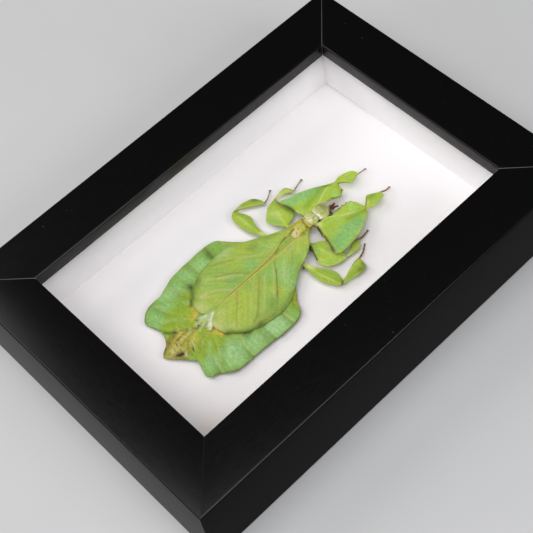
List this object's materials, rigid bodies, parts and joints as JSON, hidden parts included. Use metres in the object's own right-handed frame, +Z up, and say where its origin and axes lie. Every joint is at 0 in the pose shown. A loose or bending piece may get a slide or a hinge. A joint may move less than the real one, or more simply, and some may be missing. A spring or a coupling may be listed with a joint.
{
  "type": "mounted leaf insect in a glazed box frame",
  "caption": "Life-size dried leaf insect with leafy wing covers, abdomen and legs, set out under glass on white card in a black box frame.",
  "frame": {"origin": "centre of the case's back, on the surface that the case lies on", "axes": "+Y along the case's long side towards the insect's head, +X to the insect's right seen from above, +Z up out of the glass"},
  "size_m": [0.134, 0.19, 0.035],
  "materials": {
    "frame_black": "black satin paint on a wooden moulding",
    "glass": "clear picture glass",
    "card_white": "matt white mount card",
    "hardboard": "brown hardboard",
    "steel_tab": "plain steel",
    "leaf_green": "dried cuticle, blue green to yellow green, darker at the rim",
    "wing_green": "dried veined wing cover, olive green with an ochre midrib",
    "leg_green": "dried leafy leg lobes, lime to blue green",
    "thorax_ochre": "dried granular cuticle, ochre",
    "pale_green": "dried granular cuticle, pale green",
    "tail_brown": "dried cuticle, olive brown",
    "dry_brown": "dried limb, red brown to grey brown",
    "eye_brown": "dried eye, dark brown and slightly glossy"
  },
  "bodies": {
    "root": {"case_rail_left": "frame_black", "case_liner_left": "card_white", "case_rail_right": "frame_black", "case_liner_right": "card_white", "case_rail_head": "frame_black", "case_liner_head": "card_white", "case_rail_foot": "frame_black", "case_liner_foot": "card_white", "case_glass": "glass", "case_board": "card_white", "case_back": "hardboard", "case_tab_left_foot": "steel_tab", "case_tab_left_head": "steel_tab", "case_tab_right_foot": "steel_tab", "case_tab_right_head": "steel_tab", "abdomen": "leaf_green", "abdomen_tip": "tail_brown", "tegmen_left": "wing_green", "tegmen_right": "wing_green", "metathorax": "thorax_ochre", "mesothorax": "thorax_ochre", "pronotum": "pale_green", "head": "pale_green", "eye_left": "eye_brown", "eye_right": "eye_brown", "antenna_left": "dry_brown", "antenna_right": "dry_brown", "mouthparts": "dry_brown", "femur_front_left": "leg_green", "tibia_front_left": "leg_green", "tarsus_front_left": "dry_brown", "femur_front_right": "leg_green", "tibia_front_right": "leg_green", "tarsus_front_right": "dry_brown", "femur_mid_left": "leg_green", "tibia_mid_left": "leg_green", "tarsus_mid_left": "dry_brown", "femur_mid_right": "leg_green", "tibia_mid_right": "leg_green", "tarsus_mid_right": "dry_brown", "femur_hind_left": "leg_green", "tibia_hind_left": "leg_green", "tarsus_hind_left": "dry_brown", "femur_hind_right": "leg_green", "tibia_hind_right": "leg_green", "tarsus_hind_right": "dry_brown"}
  },
  "joints": []
}
